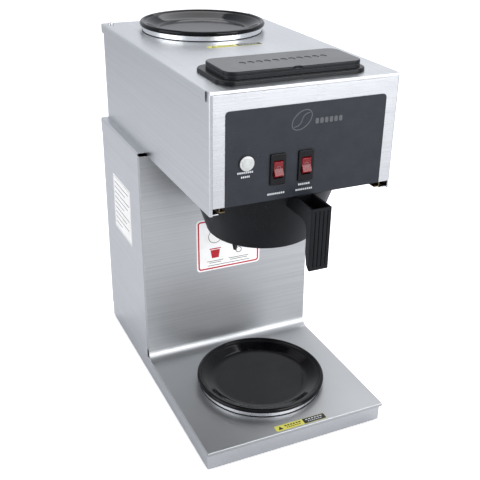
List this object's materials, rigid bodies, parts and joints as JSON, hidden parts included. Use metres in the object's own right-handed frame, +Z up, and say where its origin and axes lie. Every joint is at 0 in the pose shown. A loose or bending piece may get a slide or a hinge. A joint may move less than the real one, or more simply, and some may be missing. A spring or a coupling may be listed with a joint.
{
  "type": "commercial coffee brewer",
  "caption": "Pour-over coffee brewer in bent stainless sheet: tall back column, overhanging head with slide-out filter basket, water basin under a lid, and a lower and an upper decanter warmer.",
  "frame": {"origin": "on the counter, under the middle of the brewer's whole footprint", "axes": "+Z up; the front with the switches and the basket handle faces -Y; +X is on the operator's right"},
  "size_m": [0.2422, 0.417, 0.468],
  "materials": {
    "stainless": "brushed stainless sheet, satin",
    "stainless_deck": "brushed stainless sheet, grain across",
    "stainless_top": "brushed stainless sheet, satin",
    "control_plate": "charcoal overlay, fine satin",
    "screw_steel": "bright zinc-plated steel",
    "rail_steel": "yellow-passivated zinc steel",
    "basket_plastic": "moulded black plastic, satin",
    "wire_chrome": "bright plated wire",
    "basin_plastic": "moulded black plastic, semi-gloss",
    "lid_plastic": "moulded black plastic, satin",
    "silicone": "translucent silicone",
    "tank_steel": "plain stainless",
    "heater_sheath": "oxidised alloy sheath",
    "brass": "machined brass",
    "copper": "drawn copper",
    "insulation": "glass-fibre blanket",
    "bakelite": "phenolic moulding",
    "bushing_plastic": "nylon bushing",
    "light_lens": "clear-white lens",
    "switch_plastic": "black nylon, gloss",
    "red_rocker": "translucent red plastic",
    "black_enamel": "glossy porcelain enamel",
    "ring_chrome": "polished",
    "element": "clad flat element",
    "rubber": "moulded rubber",
    "label_white": "printed vinyl",
    "label_yellow": "printed vinyl, yellow and black"
  },
  "bodies": {
    "housing": {"base_pan": "stainless", "bottom_cover": "stainless", "feet": "rubber", "splash_panel": "stainless_deck", "column_side_left": "stainless", "column_side_right": "stainless", "rear_panel": "stainless", "head_side_left": "stainless", "head_side_right": "stainless", "head_floor": "stainless", "front_panel": "stainless", "control_plate": "control_plate", "top_cover": "stainless_top", "pan_head_screws": "screw_steel", "basket_rail_left": "rail_steel", "basket_rail_right": "rail_steel", "basin": "basin_plastic", "fill_hose": "silicone", "outlet_hose": "silicone", "hose_clamps": "screw_steel", "tank_body": "tank_steel", "tank_gasket": "silicone", "tank_lid": "tank_steel", "tank_heater": "heater_sheath", "heater_nuts": "brass", "tank_fill_tube": "tank_steel", "tank_brackets": "rail_steel", "tank_insulation": "insulation", "spray_fitting": "brass", "spray_nut": "brass", "spray_disc": "tank_steel", "thermostat_body": "bakelite", "thermostat_bulb": "copper", "limit_thermostat": "bakelite", "terminal_block": "bakelite", "cord_inlet_bushing": "bushing_plastic", "ready_light_lens": "light_lens", "ready_light_body": "bakelite", "ready_light_nut": "screw_steel", "warmer_switch_housing": "switch_plastic", "upper_warmer_switch_housing": "switch_plastic", "switch_terminals": "brass", "lower_warmer_plate": "black_enamel", "upper_warmer_plate": "black_enamel", "lower_warmer_ring": "ring_chrome", "upper_warmer_ring": "ring_chrome", "lower_warmer_element": "element", "upper_warmer_element": "element", "warmer_brackets": "rail_steel", "warmer_gaskets": "rubber", "warmer_nuts": "brass", "instruction_label": "label_white", "rating_label": "label_white", "hot_surface_labels": "label_yellow"},
    "basket": {"brew_basket": "basket_plastic", "wire_basket": "wire_chrome"},
    "lid": {"basin_lid": "lid_plastic"},
    "warmer_rocker": {"warmer_rocker": "red_rocker"},
    "upper_warmer_rocker": {"upper_warmer_rocker": "red_rocker"},
    "thermostat_shaft": {"thermostat_shaft": "brass"}
  },
  "joints": [
    {"name": "basket_slide", "type": "slide", "parent": "housing", "child": "basket", "axis": [0, -1, 0], "range_m": [0, 0.205]},
    {"name": "lid_lift", "type": "slide", "parent": "housing", "child": "lid", "axis": [0, 0, 1], "range_m": [0, 0.06]},
    {"name": "warmer_switch", "type": "hinge", "parent": "housing", "child": "warmer_rocker", "pos_m": [-0.0347, -0.1693, 0.367], "axis": [1, 0, 0], "range_deg": [0, 24]},
    {"name": "upper_warmer_switch", "type": "hinge", "parent": "housing", "child": "upper_warmer_rocker", "pos_m": [-0.0016, -0.1693, 0.367], "axis": [1, 0, 0], "range_deg": [0, 24]},
    {"name": "thermostat_adjust", "type": "hinge", "parent": "housing", "child": "thermostat_shaft", "pos_m": [0.07, -0.028, 0.351], "axis": [0, -1, 0], "range_deg": [-135, 135]}
  ]
}
